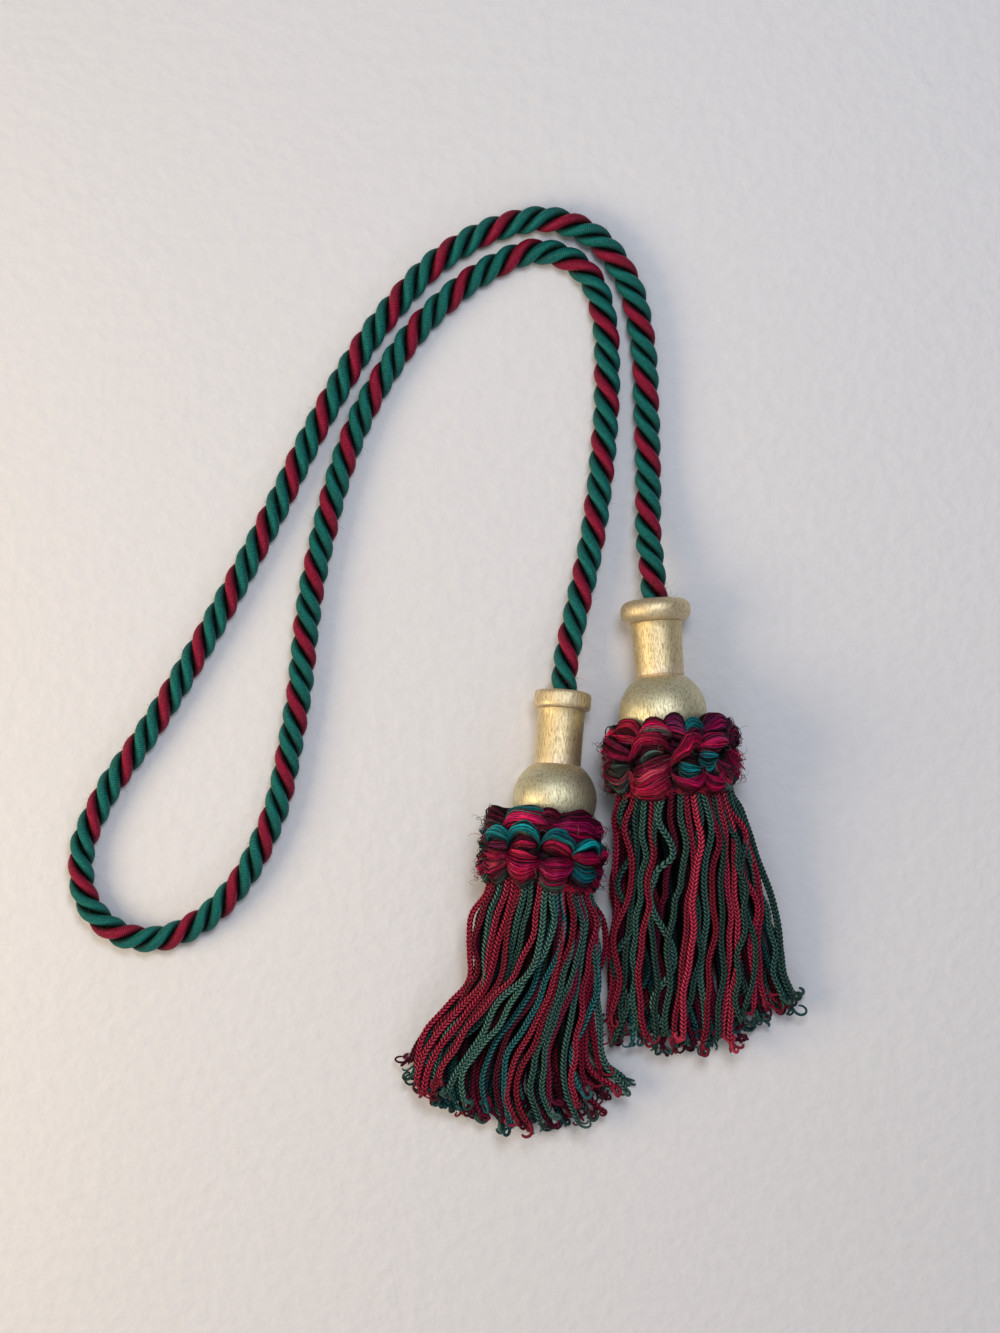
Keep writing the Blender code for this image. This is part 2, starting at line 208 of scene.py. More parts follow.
def round_tube(path, radius, sides):
    turn = 2 * np.pi * np.arange(sides) / sides
    radius = np.broadcast_to(radius, len(path))[:, None]
    return tube(path, Z, radius * np.cos(turn), radius * np.sin(turn))


def raised(points, clear=0.0):
    """Points with none nearer to the table than clear."""
    points[..., 2] = np.maximum(points[..., 2], ON_TABLE + clear)
    return points


def clamped(share):
    return np.clip(share, 0.0, 1.0)


def dimmed(least, share):
    """What a tint is multiplied by: least where share is 0, and 1 where it is 1."""
    return least + (1.0 - least) * share


def new_object(name, data):
    made = bpy.data.objects.new(name, data)
    bpy.context.scene.collection.objects.link(made)
    return made


class Pile:
    """Closed tubes and rings gathered into one mesh. Each point has a tint. In the map, u is
    millimetres along a tube and v goes once round it."""

    def __init__(self):
        self.points, self.faces, self.tints, self.map = [], [], [], []
        self.count = 0

    def add(self, rings, tint, ring_closed=False, run=None):
        """tint is one colour, or one for each ring and side. run can replace the millimetres."""
        turns, sides = rings.shape[:2]
        tint = np.broadcast_to(tint, (turns, sides, 3))
        middle = rings.mean(axis=1)
        half = turns // 2
        ahead, spokes = middle[half] - middle[half - 1], rings[half] - middle[half]
        if np.sum(np.cross(spokes, np.roll(spokes, -1, axis=0)) @ ahead) < 0:
            rings, tint = rings[:, ::-1], tint[:, ::-1]
        if run is None:
            run = np.cumsum(np.linalg.norm(np.diff(middle, axis=0, prepend=middle[:1]), axis=1)) * 1000
        last = turns if ring_closed else turns - 1
        i, j = (a.ravel() for a in np.meshgrid(np.arange(last), np.arange(sides), indexing="ij"))
        i_next, j_next = (i + 1) % turns, (j + 1) % sides
        corners = [(i, j), (i, j_next), (i_next, j_next), (i_next, j)]
        self.faces += (np.stack([a * sides + b for a, b in corners], 1) + self.count).tolist()
        after = run[i] + (run[1] - run[0]) if ring_closed else run[i_next]
        places = [(run[i], j), (run[i], j + 1), (after, j + 1), (after, j)]
        self.map.append(np.stack([np.stack([u, v / sides], 1) for u, v in places], 1).reshape(-1, 2))
        self.points.append(rings.reshape(-1, 3))
        self.tints.append(tint.reshape(-1, 3))
        if not ring_closed:
            first = self.count + np.arange(sides)
            for ring, way in ((first[::-1], 0), (first + (turns - 1) * sides, turns - 1)):
                self.faces.append(ring.tolist())
                self.map.append(np.stack([np.full(sides, run[way]), np.arange(sides) / sides], 1))
        self.count += turns * sides

    def make(self, name, finish, slot, matrix=None):
        """A piece of the visual model. All of them ride on the one body."""
        points = np.concatenate(self.points)
        mesh = bpy.data.meshes.new(name)
        mesh.from_pydata(points.tolist(), [], self.faces)
        mesh.uv_layers.new(name="run").data.foreach_set("uv", np.concatenate(self.map).ravel())
        tints = np.concatenate(self.tints)
        tints = np.column_stack([tints, np.ones(len(tints))])
        colours = mesh.color_attributes.new("tint", "FLOAT_COLOR", "POINT")
        colours.data.foreach_set("color", tints.ravel())
        mesh.shade_smooth()
        mesh.materials.append(finish)
        piece = new_object(name, mesh)
        if matrix is not None:
            piece.matrix_world = matrix
        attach(piece, "root")
        return piece


def add_hairs(pile, roots, ways, lengths, radius, tints, rng, steps, curl=0.6):
    """Loose fibres, each an arc that starts at a root and bends as it goes."""
    for root, way, length, tint in zip(roots, ways, lengths, tints):
        way = unit(np.array(way))
        bend = unit(np.cross(way, rng.normal(size=3)))
        turn = np.linspace(0.0, curl * rng.uniform(0.5, 2.0), steps)[:, None]
        path = root + length * (way * np.sin(turn) + bend * (1 - np.cos(turn))) / max(turn[-1, 0], 0.1)
        path = raised(path, radius)
        pile.add(round_tube(path, radius * np.linspace(1.0, 0.5, steps), 3), tint)


# Nodes of the materials

def node(tree, kind, inputs=None, **settings):
    """Adds a node and returns its first output. inputs holds values or other nodes' outputs."""
    made = tree.nodes.new("ShaderNode" + kind)
    for key, value in settings.items():
        setattr(made, key, value)
    for socket, value in (inputs or {}).items():
        if isinstance(value, bpy.types.NodeSocket):
            tree.links.new(value, made.inputs[socket])
        else:
            made.inputs[socket].default_value = value
    return made.outputs[0]


def maths(tree, operation, *values):
    return node(tree, "Math", dict(enumerate(values)), operation=operation)


def ramp(tree, value, *stops):
    """A colour ramp through (position, grey or colour) stops."""
    out = node(tree, "ValToRGB", {0: value})
    elements = out.node.color_ramp.elements
    while len(elements) < len(stops):
        elements.new(0.5)
    for element, (position, shade) in zip(elements, stops):
        element.position = position
        element.color = (*shade, 1.0) if isinstance(shade, tuple) else (shade, shade, shade, 1.0)
    return out


def mixed(tree, share, first, second, blend="MIX"):
    first, second = ((*shade, 1.0) if isinstance(shade, tuple) else shade for shade in (first, second))
    made = node(tree, "Mix", {0: share, 6: first, 7: second}, data_type="RGBA", blend_type=blend)
    return made.node.outputs[2]


def new_material(name, **constants):
    """A material whose shader has these constants, with spaces for their underscores."""
    made = bpy.data.materials.new(name)
    made.use_nodes = True
    shader = made.node_tree.nodes["Principled BSDF"]
    for key, value in constants.items():
        shader.inputs[key.replace("_", " ")].default_value = value
    return made, made.node_tree, shader


def join_up(tree, shader, colour, height, depth, roughness=None):
    tree.links.new(colour, shader.inputs["Base Color"])
    if roughness:
        tree.links.new(roughness, shader.inputs["Roughness"])
    normal = node(tree, "Bump", {"Strength": 1.0, "Distance": depth, "Height": height})
    tree.links.new(normal, shader.inputs["Normal"])


def as_share(tree, wave):
    """A wave from -1 to 1 as a share from 0 to 1."""
    return maths(tree, "MULTIPLY_ADD", wave, 0.5, 0.5)


def object_noise(tree, scale, detail, stretch=(1.0, 1.0, 1.0), waver=0.0):
    place = node(tree, "TexCoord").node.outputs["Object"]
    place = node(tree, "Mapping", {"Vector": place, "Scale": stretch})
    return node(tree, "TexNoise", {"Vector": place, "Scale": scale, "Detail": detail,
                                   "Distortion": waver})


def yarn_material(name, roughness, gloss, uneven, grain, depth, winding=None, stitched=False):
    """Yarn takes its colour from the tint, made uneven by a noise whose scale is grain. depth is
    its bump's. winding is the pitch, in millimetres, of the thread wound round a ply; its grooves
    get painted shade and its crests a painted highlight. stitched yarn gets painted shade between
    its stitches, which the map counts, and down the middle of its faces, and a painted highlight
    on the stitches' tops. The darkest places are the roughest."""
    made, tree, shader = new_material(name, Specular_IOR_Level=gloss)
    tint = node(tree, "Attribute", attribute_name="tint")
    height = fine = object_noise(tree, grain, 3.0)
    shade = ramp(tree, fine, (0.30, 1.0 - uneven), (0.70, 1.0 + uneven))
    colour = mixed(tree, 1.0, tint, shade, "MULTIPLY")
    along, around, _ = node(tree, "SeparateXYZ", {0: node(tree, "UVMap", uv_map="run")}).node.outputs
    if winding:
        waver = maths(tree, "MULTIPLY", object_noise(tree, 420.0, 3.0), WINDING_WAVER)
        turns = maths(tree, "ADD", maths(tree, "MULTIPLY", along, 2 * math.pi / winding), waver)
        wave = maths(tree, "SINE", turns)
        height = maths(tree, "ADD", wave, maths(tree, "MULTIPLY", fine, 1.5))
        # Painted shade in the winding's grooves, painted highlight on its crests
        colour = mixed(tree, 1.0, colour, ramp(tree, as_share(tree, wave), *WINDING_SHADES),
                       "MULTIPLY")
    if stitched:
        stitch = maths(tree, "COSINE", maths(tree, "MULTIPLY", along, 2 * math.pi))
        face = maths(tree, "COSINE", maths(tree, "MULTIPLY", around, 4 * math.pi))
        # Painted shade between stitches and down the faces' middles, painted highlight on the stitch
        # tops
        relief = mixed(tree, 1.0, ramp(tree, as_share(tree, stitch), *STITCH_SHADES),
                       ramp(tree, as_share(tree, face), *FACE_SHADES), "MULTIPLY")
        colour = mixed(tree, 1.0, colour, relief, "MULTIPLY")
        height = maths(tree, "ADD", maths(tree, "MULTIPLY", relief, 2.5), fine)
    rough = ramp(tree, node(tree, "RGBToBW", {0: colour}), (0.0, MATT), (0.035, roughness))
    join_up(tree, shader, colour, height, depth, rough)
    return made


def gilt_material():
    """Satin gilt paint over open grain: fine streaks along the head, dark specks, and edges that
    have worn to pale wood. The tint's red is how worn a place is, and its green how far the gilt
    is paled there, a painted reflection of the cool surroundings on the bulbs."""
    made, tree, shader = new_material("gilt", Metallic=0.84)
    tint = node(tree, "Attribute", attribute_name="tint")
    marks = node(tree, "SeparateColor", {0: tint}).node.outputs
    streaks = object_noise(tree, 2300.0, 4.0, stretch=(1.0, 1.0, 0.15), waver=0.9)
    specks = object_noise(tree, 2900.0, 2.0, stretch=(1.0, 1.0, 0.26), waver=0.7)
    cloud = object_noise(tree, 90.0, 3.0)
    gold = mixed(tree, cloud, GILT["warm"], GILT["cool"])
    gold = mixed(tree, marks["Green"], gold, GILT["pale"])
    gold = mixed(tree, ramp(tree, streaks, (0.38, 0.75), (0.50, 0.0)), gold, GILT["streak"])
    gold = mixed(tree, ramp(tree, specks, (0.28, 0.65), (0.35, 0.0)), gold, GILT["speck"])
    wear = maths(tree, "MULTIPLY", marks["Red"], ramp(tree, streaks, (0.38, 0.25), (0.60, 1.0)))
    gold = mixed(tree, wear, gold, GILT["wood"])
    height = maths(tree, "ADD", streaks, maths(tree, "MULTIPLY", specks, 0.8))
    rough = ramp(tree, streaks, (0.30, 0.58), (0.70, 0.39))
    join_up(tree, shader, gold, height, 0.00012, rough)
    return made


def floor_material():
    made, tree, shader = new_material("floor", Roughness=0.6)
    grain = object_noise(tree, 160.0, 2.0)
    join_up(tree, shader, mixed(tree, grain, *FLOOR), grain, 0.0006)
    return made


# Places on a tassel

def head_profile(tassel):
    """The head's outline as (radius, length along the axis), from the bore's end to the foot, and
    how worn the paint is there."""
    rim, ring, bead, depth = tassel.rim, tassel.rim_length, tassel.bead, tassel.bead_depth
    points = [(0.0, BORE_DEPTH, 0.0), (BORE_RADIUS, BORE_DEPTH, 0.0), (BORE_RADIUS, 0.0012, 0.2),
              (BORE_RADIUS + 0.0003, 0.0004, 0.9), (BORE_RADIUS + 0.0008, 0.0, 0.9),
              (rim - depth, 0.0, 0.4)]
    for turn in np.radians(np.linspace(-84.0, 84.0, 19)):
        r = rim - depth * (1.0 - abs(math.cos(turn)) ** (2 / bead))
        s = ring / 2 * (1.0 + math.copysign(abs(math.sin(turn)) ** (2 / bead), turn))
        points.append((r, s, 0.30 + 0.65 * (abs(turn) / 1.47) ** 3))
    top, low = tassel.neck_top, tassel.neck_low
    points += [(rim - depth, ring, 0.5), (top + 0.0004, ring + 0.0002, 0.1), (top, ring + 0.0009, 0.0)]
    for t in np.linspace(0.0, 1.0, 9)[1:]:
        waist = 0.0002 * math.sin(math.pi * t)
        points.append((top + (low - top) * t - waist, ring + 0.0009 + (NECK_END - 0.0016 - ring) * t,
                       0.15 + 0.55 * t**8))
    points += [(low - 0.0001, NECK_END, 0.9), (low - 0.0006, NECK_END + 0.0004, 0.5)]
    start = math.asin((low + 0.0006) / tassel.bulb)
    end = math.acos((tassel.bulb_at - HEAD_LENGTH) / tassel.bulb)
    for turn in np.linspace(start, end, 30):
        points.append((tassel.bulb * math.sin(turn), tassel.bulb_at - tassel.bulb * math.cos(turn),
                       0.5 * math.exp(-30.0 * (turn - start))))
    points.append((0.0, HEAD_LENGTH, 0.0))
    return points


def rim_height(tassel):
    """Height of the middle of the rim's face when the rim lies on the table."""
    tilt = math.radians(tassel.tilt)
    return max(r * math.cos(tilt) - s * math.sin(tilt) for r, s, _ in head_profile(tassel))


def head_frame(tassel):
    """Local Z runs from the rim's face along the head's axis, and local X to the side."""
    lean, tilt = math.radians(tassel.lean), math.radians(tassel.tilt)
    side = Vector((math.cos(lean), math.sin(lean), 0.0))
    axis = Vector((math.sin(lean) * math.cos(tilt), -math.cos(lean) * math.cos(tilt), math.sin(tilt)))
    matrix = Matrix((side, axis.cross(side), axis)).transposed().to_4x4()
    matrix.translation = (tassel.x, tassel.y, rim_height(tassel))
    return matrix


def placed(tassel, points):
    """Points from a head's frame in the part's own."""
    matrix = np.array(head_frame(tassel))
    return np.asarray(points) @ matrix[:3, :3].T + matrix[:3, 3]


def level(tassel, s):
    """Local Y of the ruff's middle: on the axis along the head, and past it at one height."""
    tilt = math.radians(tassel.tilt)
    above = (RUFF_MIDDLE - rim_height(tassel) - s * math.sin(tilt)) / math.cos(tilt)
    start = tassel.ruff_start
    return np.where(s > HEAD_LENGTH, above, above * clamped((s - start) / (HEAD_LENGTH - start)))


# Cord

def build_cord(finish):
    right, left = TASSELS
    bores = [placed(t, [(0.0, 0.0, s) for s in (IN_BORE, 0.0, -OUT_OF_BORE)]) for t in (right, left)]
    route = [(x * MM, y * MM, height[0] * MM if height else LYING) for x, y, *height in ROUTE]
    middle = smooth_curve(np.vstack([bores[0], route, bores[1][::-1]]), step=CORD_LAY / CORD_STEPS)
    side, up, _ = directions(middle, Z)
    steps = np.arange(len(middle))
    knots = np.arange(0, len(middle) + UNEVEN_STEPS, UNEVEN_STEPS)
    pile, hairs = Pile(), Pile()
    rng = np.random.default_rng(11)
    turn = 2 * np.pi * np.arange(PLY_SIDES) / PLY_SIDES
    # Each ply's tint: painted shade where it faces the other plies, and a painted highlight in a stripe
    # along one side
    shade = dimmed(PLY_PAINTED_SHADE, clamped(0.22 + 1.1 * np.sin(turn)) ** 1.5)
    shade = shade * (1.0 + 0.45 * np.exp(-((turn - PLY_PAINTED_HIGHLIGHT) / PLY_PAINTED_HIGHLIGHT_WIDTH) ** 2))
    for ply, colour in enumerate(PLIES):
        tint = np.array(COLOURS[colour])
        angle = 2 * np.pi * (ply / len(PLIES) - steps / CORD_STEPS)[:, None]
        outward = up * np.cos(angle) - side * np.sin(angle)
        uneven = np.interp(steps, knots, rng.normal(size=len(knots)))[:, None]
        uneven = 1.0 + PLY_UNEVEN * uneven
        path = middle + outward * PLY_MIDDLE
        rings = tube(path, outward, PLY_RADIUS * uneven * np.cos(turn),
                     PLY_RADIUS * (2.0 - uneven) * np.sin(turn))
        pile.add(raised(rings), tint * shade[:, None])
        for fuzz in PLY_FUZZ:
            roots = rng.integers(20, len(path) - 20, fuzz.count)
            ways = outward[roots] + 0.8 * rng.normal(size=(fuzz.count, 3))
            add_hairs(hairs, path[roots] + unit(ways) * PLY_RADIUS * 0.97, ways,
                      rng.uniform(fuzz.shortest, fuzz.longest, fuzz.count), FUZZ_RADIUS,
                      [tint * 1.5] * fuzz.count, rng, fuzz.steps)
    for rim in (AT_RIM, len(middle) - 1 - AT_RIM):
        ways = unit(rng.normal(size=(FRAYED, 3)) + 0.6 * Z)
        roots = middle[rim + rng.integers(-2, 3, FRAYED)] + ways * CORD_DIAMETER * 0.42
        tints = [COLOURS[name] for name in rng.choice(FRAYED_COLOURS, FRAYED)]
        add_hairs(hairs, roots, ways, rng.uniform(0.002, 0.0065, FRAYED), FRAYED_RADIUS, tints,
                  rng, steps=8, curl=1.4)
    # A near-black tube down the cord's middle, painted shade seen deep in the grooves between the plies
    pile.add(round_tube(middle[::3], SHADE_CORE_RADIUS, 6), COLOURS["soot"])
    cord = pile.make("twisted_cord", finish, "cord")
    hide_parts("cord")
    hairs.make("stray_hairs", finish, "cord")


# Heads

def build_head(tassel, finish):
    turn = 2 * np.pi * np.arange(HEAD_SIDES) / HEAD_SIDES
    profile = np.array(head_profile(tassel))
    radius, along, worn = (profile[:, k][:, None] for k in range(3))
    radius = np.maximum(radius, 0.0001)
    uneven = 1.0 + 0.004 * np.sin(2 * turn + tassel.seed)
    rings = np.stack(np.broadcast_arrays(radius * uneven * np.cos(turn),
                                         radius * np.sin(turn), along), axis=-1)
    # The bulb's paler gilt is a painted reflection of the cool surroundings
    pale = BULB_PAINTED_REFLECTION * clamped((along - NECK_END) / PALING)
    pile = Pile()
    pile.add(rings, np.stack([worn, pale, worn], axis=-1))
    head = pile.make("gilt_head_" + tassel.name, finish, "gilt_wood", head_frame(tassel))
    head.data.set_sharp_from_angle(angle=math.radians(50.0))
    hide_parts("head_" + tassel.name)


# Ruffs. A puff is a sheaf of threads sewn down at two stitches and bulging between them. start and
# end are the stitches' angles round the ruff from its top, and along their place down the head. The
# sheaf swings from near to reach away from there, positive towards the skirt. out is how far it
# bulges, bands its colours, from near to reach, rise how much further along its end is than its
# start, and skew how far its middle leans sideways. slant, which is drawn at random, adds to the
# rise. along, near, reach, out and rise are in millimetres.
Puff = namedtuple("Puff", "start end along near reach out bands rise skew slant",
                  defaults=[0.0, 0.0, 0.0])
FLOSS = {"c": "crimson", "r": "red", "m": "magenta", "w": "wine", "d": "dark", "p": "purple",
         "f": "faded", "s": "sea", "t": "deep_sea", "g": "grey", "k": "soot"}
THREAD_SPACING = 0.00024
THREAD_RADIUS = 0.00017
THREAD_STEPS = 12
ARCH_START = 0.05  # where the arch across a sheaf starts, in half turns
ARCH_SPAN = 0.91  # and how much of a half turn it takes up
PAST_STITCH = 0.04  # how far a thread runs on past its stitches, in parts of its length
OVERLAP = 0.0012  # how far a sheaf that starts at its stitches reaches across their line
CORE_INSIDE = 0.0007  # from a sheaf's threads down to the dark core that closes it
CORE_DEPTH = 0.004  # from the threads down to the core's underside
# How dark a sheaf's core is: painted shade inside the sheaf
CORE_PAINTED_SHADE = 0.12
UNDERSIDE = 105.0  # degrees from the top, past which a puff is only its core
BUNCH = 3.0  # threads from the middle of one bunch to the next one's
GLOWS = (0.14, 0.40, 0.80, 1.20, 1.70, 2.30)  # how dark or bright bunches are
BUNCH_RISE = 0.00035  # how far bunches stand off their sheaf or lie in it
WISP_COLOURS = ("soot", "grey", "wine", "crimson", "purple")
WISP_ROOTS = 0.002  # from the outside of the puffs down to their roots
UNDERCOAT = 240  # bundles under the puffs
# Colours of those bundles, dark as painted shade under the puffs
UNDER_COLOURS = ("wine", "dark", "dark", "purple", "dark", "soot")
BUNDLE_RADIUS = 0.00048
BAND_ROUND = 0.0042  # how much lower the band's edges are than its middle
BAND_THICKNESS = 0.0056
ANY_PHASE = 6.3  # a wave's phase is drawn from 0 to this
LEFT_PUFFS = [
    # The row next to the bulb
    (-150, -98, 66, 0, -11.5, 5, "dkw"),
    (-98, -45, 66, 0, -12.5, 5.6, "dwkdwd"),
    (-45, 2, 65.5, 0, -13.5, 6.6, "dwcmccst"),
    (-12, 16, 65.5, 0, -12, 5.6, "dwdcm"),
    (2, 62, 67, 0, -14.5, 6.4, "dmcmmpmm", 0, 0.1),
    (62, 108, 67, 0, -12, 5.2, "dpmwd"),
    (108, 156, 66, 0, -11.5, 5, "dwm"),
    # Arches towards the head, each a sheaf within another
    (-100, -67, 73.5, 0, -12, 7, "dkwtd"),
    (-67, -35, 73, 0, -5, 6.6, "fpwd"),
    (-67, -35, 73, -3, -12, 8.4, "gtsssg"),
    (-33, -5, 72.8, 0, -6.6, 5.6, "wrcdrw", -3.5),
    (-35, -3, 73.2, -5.6, -13.2, 9.2, "gsstssg"),
    (0, 28, 74.5, 0, -6.8, 5.8, "wrrcrd", 4, 0.1),
    (-3, 29, 74.8, -5, -12.6, 9, "gsstsss", 0, 0.1),
    (29, 62, 77, 0, -7.2, 8.8, "dccmc"),
    (29, 62, 77, -5.8, -12.2, 8.4, "tsss"),
    (62, 95, 76, 0, -11, 7.4, "dwcst"),
    (95, 128, 75, 0, -11, 6.6, "dws"),
    (-133, -100, 74, 0, -11, 6.6, "dwt"),
    # Arches towards the skirt
    (-133, -100, 75.5, 0, 12.5, 6.4, "dcg"),
    (-100, -67, 74.5, 0, 13.5, 7.2, "kdwcg"),
    (-67, -35, 73.5, 0, 15, 8, "drcfcwg", 0, -0.1),
    (-33, -6, 74, 0.4, 7, 6, "wrrcd", 3, -0.1),
    (-35, -3, 74, 4.8, 15.2, 9, "ccmccrcg"),
    (-1, 27, 75.5, 0.6, 6.2, 5.8, "dwcw", -3),
    (-3, 29, 75.5, 3, 14.6, 9.2, "mcmcmcgg"),
    (29, 62, 77.5, 0, 9, 8.2, "cgsstg"),
    (29, 62, 78.5, 6, 11.5, 5.8, "dpdpk"),
    (62, 95, 76.5, 0, 12, 7.2, "dwpcd"),
    (95, 128, 75.5, 0, 12.5, 6.4, "dcg"),
]
RIGHT_PUFFS = [
    (-152, -104, 65, 0, -11, 5, "dcw"),
    (-104, -60, 64.5, 0, -10, 5.6, "dwck"),
    (-60, -26, 64, 0, -11.5, 7.4, "dwrrrc"),
    (-28, -4, 63.2, 0, -10.8, 6.6, "dcgcrm", 0, 0.1),
    (-8, 13, 63, 0, -10.8, 5.8, "dwmppw"),
    (9, 33, 63.8, 0, -10.5, 6.4, "dpdsst"),
    (30, 62, 64, 0, -11.2, 5.8, "dwpmpd"),
    (60, 104, 64.5, 0, -10.8, 5.4, "dpwpd"),
    (102, 150, 65, 0, -11, 5, "dwc"),
    # Arches towards the head, some of them slanting
    (-82, -43, 69.5, 0, -9.5, 8.8, "kwcmwk", 5),
    (-34, -9, 72.2, 0, -6.2, 4.8, "dkgdwd", -4),
    (-43, -6, 71.5, -3.6, -12.8, 10, "wcrrrcc", -6, 0.06),
    (-6, 25, 72.6, 0, -12.2, 10.2, "drrcmcmc", -6.5, 0.16),
    (24, 54, 69.2, 0, -9.2, 8.8, "dwcmmc", -2),
    (54, 88, 69, 0, -10, 7.6, "dpwt"),
    (88, 122, 70, 0, -10, 6.6, "dwc"),
    (-114, -80, 70, 0, -10, 7, "dck"),
    # Arches towards the skirt
    (-114, -80, 71.5, 0, 12, 6.6, "dkc"),
    (-80, -42, 71.8, 0, 14.8, 8.4, "dkgkfkgk", 0, -0.1),
    (-43, -5, 73.8, 5, 15, 7, "dcrcrc"),
    (-37, -4, 74.8, 0, 10, 9, "wfwfcfw", -4),
    (2, 23, 75, 0, 8, 6.2, "dkstgk"),
    (-4, 27, 74.2, 6.2, 14.2, 8.2, "wcmcmcf", 1),
    (26, 41, 70.5, 0, 8.5, 5.8, "dstsd"),
    (25, 45, 74.5, 4.5, 13.2, 7.2, "dcmcc"),
    (38, 62, 74.5, 1, 12.8, 6.8, "dwdcgg", 3),
    (60, 92, 70, 0, 15, 7.4, "dwccpcg"),
    (92, 124, 71, 0, 13, 6.6, "dwc"),
]
PUFFS = {"left": LEFT_PUFFS, "right": RIGHT_PUFFS}
# A line of short curled fibres along the end of a ruff: from and to, in degrees, and its place
FRIZZ = {"left": (12.0, 66.0, 0.0885), "right": (-55.0, 38.0, 0.0868)}
FRIZZ_FIBRES = 190
FRIZZ_ROOTS = 0.005  # from the outside of the puffs down to their roots


def ruff_point(tassel, turn, s, inside):
    """A place on a ruff, some way inside of its outline."""
    turn = np.radians(turn)
    x = tassel.ruff_shift + (tassel.ruff_half - inside) * np.sin(turn)
    y = level(tassel, s) + (RUFF_HALF_HEIGHT - inside) * np.cos(turn)
    return placed(tassel, np.stack(np.broadcast_arrays(x, y, s), axis=-1))


def ruff_outward(tassel, turn):
    """The way out of the ruff, in the part's frame."""
    turn = np.radians(turn)
    matrix = np.array(head_frame(tassel))[:3, :3]
    return np.stack([np.sin(turn), np.cos(turn), 0.0 * turn], axis=-1) @ matrix.T


def warped(points, tassel):
    """Points pushed about by a smooth field, so that no two puffs are alike."""
    field = np.random.default_rng(tassel.seed + 40)
    moved = points.copy()
    for wave in (700.0, 420.0, 300.0):
        ways = unit(field.normal(size=(3, 3)))
        phases = field.uniform(0.0, ANY_PHASE, 3)
        push = tassel.untidy.tumble * (300.0 / wave) ** 0.5
        moved += push * np.sin(wave * points @ ways.T + phases)
    return moved


def puff_path(tassel, puff, share, t, stand=0.0, wander=0.0):
    """A thread of a puff, with t going from 0 at its first stitch to 1 at its last. share is its
    place in the sheaf, from 0 at the near edge to 1 at the far one. stand lifts it off the sheaf,
    and wander moves it towards an edge, in half turns."""
    angle = np.pi * (ARCH_START + ARCH_SPAN * share + wander)
    ridges = 0.92 + 0.08 * np.abs(np.sin(np.pi * share * len(puff.bands))) ** 0.6
    near = puff.near or math.copysign(OVERLAP, -puff.reach)
    over = (near + (puff.reach - near) * (1.0 - np.cos(angle)) / 2) * np.sin(np.pi * t) ** 0.85
    spread = (1.0 + 2 * PAST_STITCH) * (0.5 - 0.5 * np.cos(np.pi * t)) - PAST_STITCH
    turn = puff.start + (puff.end - puff.start) * (spread + puff.skew * over / puff.reach)
    swell = np.sin(np.pi * clamped(0.04 + 0.92 * t)) ** 0.5
    out = (puff.out * ridges * np.abs(np.sin(angle)) ** 0.7 + stand) * swell
    slope = puff.rise * (spread - 0.5) + tassel.untidy.slant * puff.slant * (2 * t - 1)
    along = puff.along + slope + over + 0.0012 * (share - 0.5)
    points = warped(ruff_point(tassel, turn, along, BAND_INSIDE - out), tassel)
    return raised(points, THREAD_RADIUS)


def add_core(pile, tassel, puff, colours):
    """The inside of a sheaf, a solid that fills the gaps between its threads, tinted dark as painted
    shade and darker still at the stitches.
    """
    shares = np.linspace(-0.02, 1.02, 13)
    t = np.linspace(0.0, 1.0, 11)[:, None]
    upper = puff_path(tassel, puff, shares[None], t, stand=-CORE_INSIDE)
    lower = puff_path(tassel, puff, np.array([[0.95, 0.05]]), t, stand=-CORE_DEPTH)
    places = np.append(np.clip(shares, 0.0, 0.999), [0.99, 0.0])
    # Painted shade in the folds at the stitches
    painted_fold_shade = dimmed(0.12, np.sin(np.pi * t)[:, :, None] ** 0.9)
    pile.add(np.concatenate([upper, lower], axis=1),
             CORE_PAINTED_SHADE * colours[(places * len(colours)).astype(int)] * painted_fold_shade)


def add_puff(pile, tassel, puff, rng):
    """A puff's core and its threads, whose tint carries painted shade at the stitches and at the
    sheaf's edges and a painted highlight along its middle.
    """
    colours = np.array([COLOURS[FLOSS[letter]] for letter in puff.bands])
    add_core(pile, tassel, puff, colours)
    if abs(puff.start + puff.end) / 2 > UNDERSIDE:
        return
    count = round((abs(puff.reach - puff.near) + 1.1 * puff.out) / THREAD_SPACING)
    t = np.linspace(0.0, 1.0, THREAD_STEPS)
    # Painted shade at the stitches, where the threads gather
    painted_fold_shade = 0.02 + 1.05 * np.sin(np.pi * t)[:, None, None] ** 1.2
    bunches = np.arange(0, count + BUNCH, BUNCH)
    glow = np.interp(np.arange(count), bunches, rng.choice(GLOWS, len(bunches)))
    rise = np.interp(np.arange(count), bunches, rng.normal(0.0, BUNCH_RISE, len(bunches)))
    for i in range(count):
        share = (i + rng.uniform()) / count
        stand = rise[i] + 0.0002 * rng.normal()
        stand = stand + 0.00012 * np.sin(t * 9.0 + rng.uniform(0.0, ANY_PHASE))
        if rng.uniform() < tassel.untidy.loose:
            stand = stand + rng.uniform(0.0005, 0.0018)
        wander = tassel.untidy.wander * rng.normal() * (2 * t - 1)
        wander = wander + 0.008 * np.sin(t * 6.0 + rng.uniform(0.0, ANY_PHASE))
        band = int(np.clip(share + 0.035 * rng.standard_t(2.0), 0.0, 0.999) * len(colours))
        path = puff_path(tassel, puff, share, t, stand, wander)
        # Painted shade at the sheaf's edges and a painted highlight along its middle
        edge = 0.03 + 1.10 * math.sin(math.pi * np.clip(share, 0.02, 0.98)) ** 0.9
        pile.add(round_tube(path, THREAD_RADIUS * rng.uniform(0.8, 1.2), 3),
                 colours[band] * edge * glow[i] * rng.uniform(0.6, 1.4) * painted_fold_shade)


